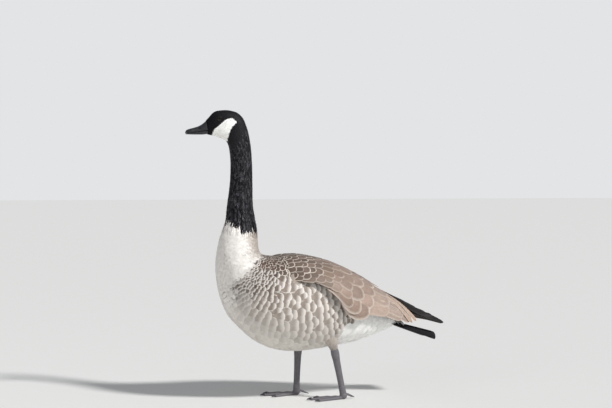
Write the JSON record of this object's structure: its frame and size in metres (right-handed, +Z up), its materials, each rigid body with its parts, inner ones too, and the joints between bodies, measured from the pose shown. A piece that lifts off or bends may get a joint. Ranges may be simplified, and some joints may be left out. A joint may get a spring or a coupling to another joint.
{
  "type": "canada goose",
  "caption": "Life-size still model of a Canada goose standing mid-step, slender black neck erect, pale cheek band, wings folded over a full body, webbed feet flat on the floor.",
  "frame": {"origin": "on the floor, under the middle of the bird's bounding box", "axes": "-X along the bill, the way the bird faces; -Y to the bird's left, the side the picture shows; +Z up"},
  "size_m": [0.6416, 0.2118, 0.6888],
  "materials": {
    "black_plumage": "satin, close-lying black feathers",
    "breast_plumage": "matte, soft pale feathers barred with brown",
    "wing_plumage": "satin brown vanes with pale edges",
    "tail_plumage": "satin black vanes",
    "bill_horn": "satin black horn",
    "eye_gloss": "wet gloss, very dark brown",
    "leg_skin": "matte scaled skin, dark grey"
  },
  "bodies": {
    "root": {"bill_upper": "bill_horn", "bill_lower": "bill_horn", "head": "black_plumage", "eye_left": "eye_gloss", "eye_right": "eye_gloss", "neck": "black_plumage", "torso": "breast_plumage", "wing_left": "wing_plumage", "wing_right": "wing_plumage", "tail": "tail_plumage", "thigh_left": "breast_plumage", "thigh_right": "breast_plumage", "shank_left": "leg_skin", "shank_right": "leg_skin", "foot_left": "leg_skin", "foot_right": "leg_skin"}
  },
  "joints": []
}
